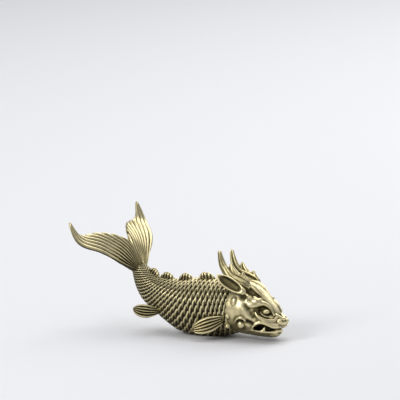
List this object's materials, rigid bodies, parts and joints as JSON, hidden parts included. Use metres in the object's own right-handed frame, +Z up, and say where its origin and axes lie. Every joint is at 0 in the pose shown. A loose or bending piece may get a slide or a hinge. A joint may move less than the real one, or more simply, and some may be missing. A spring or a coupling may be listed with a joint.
{
  "type": "fish figurine",
  "caption": "Small antique brass carp with a dragon's head, antlers and a raised, spread tail; rests on its flat belly.",
  "frame": {"origin": "middle of the flat on the belly that the figure rests on", "axes": "+X towards the head, +Y to the fish's left, +Z up"},
  "size_m": [0.0538, 0.0275, 0.0284],
  "materials": {
    "body": "aged brass, dark in the recesses and worn bright on the scales",
    "head": "aged brass, dark in the carving and worn bright on the brows and snout",
    "eyes": "worn brass",
    "horns": "aged brass, grooved",
    "fins": "aged brass, dark between the rays"
  },
  "bodies": {
    "root": {"body": "body", "skull": "head", "lower_jaw": "head", "left_eye": "eyes", "right_eye": "eyes", "left_antler": "horns", "right_antler": "horns", "left_ear": "horns", "right_ear": "horns", "left_pectoral_fin": "fins", "right_pectoral_fin": "fins", "left_pelvic_fin": "fins", "right_pelvic_fin": "fins", "left_tail_lobe": "fins", "right_tail_lobe": "fins", "dorsal_crest_1": "fins", "dorsal_crest_2": "fins", "dorsal_crest_3": "fins", "dorsal_crest_4": "fins"}
  },
  "joints": []
}
